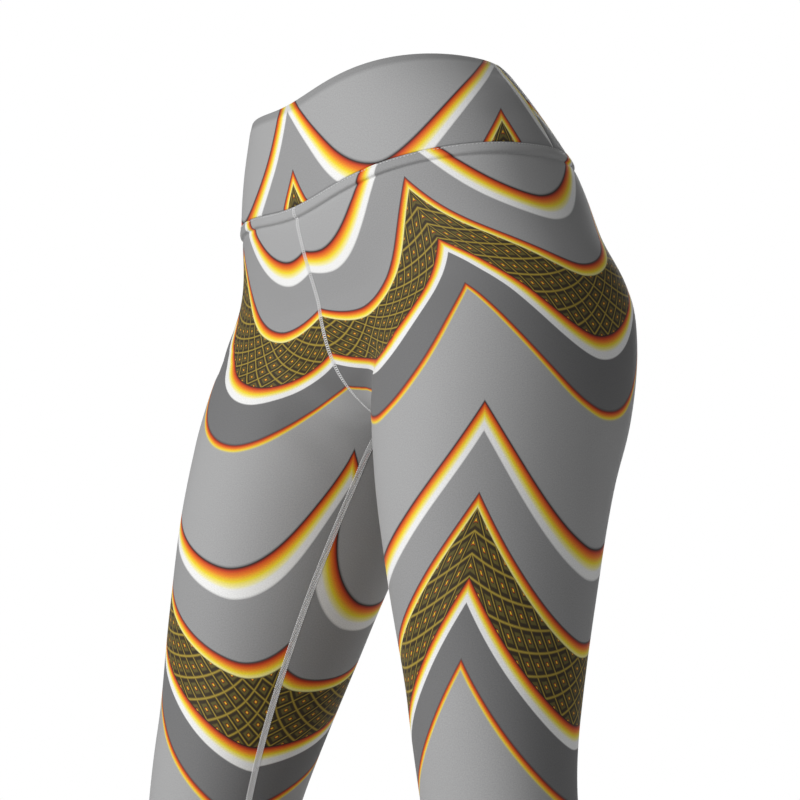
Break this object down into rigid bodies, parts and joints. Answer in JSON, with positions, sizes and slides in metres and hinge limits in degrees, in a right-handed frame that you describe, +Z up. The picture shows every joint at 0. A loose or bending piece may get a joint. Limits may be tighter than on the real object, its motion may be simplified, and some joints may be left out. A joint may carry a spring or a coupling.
{
  "type": "leggings",
  "caption": "High-waisted full-length leggings, worn open and hollow in a stepping pose, with a wide folded waistband, centre and inner leg seams and turned ankle hems.",
  "frame": {"origin": "middle of the waist opening, at the waistband's top edge", "axes": "+Z up, -Y the front, +X the wearer's left"},
  "size_m": [0.4664, 0.3339, 0.9926],
  "materials": {
    "waistband_knit": "matt printed stretch knit",
    "leg_knit": "matt printed stretch knit"
  },
  "bodies": {
    "root": {"waistband_front": "waistband_knit", "waistband_back": "waistband_knit", "leg_left": "leg_knit", "leg_right": "leg_knit"}
  },
  "joints": []
}
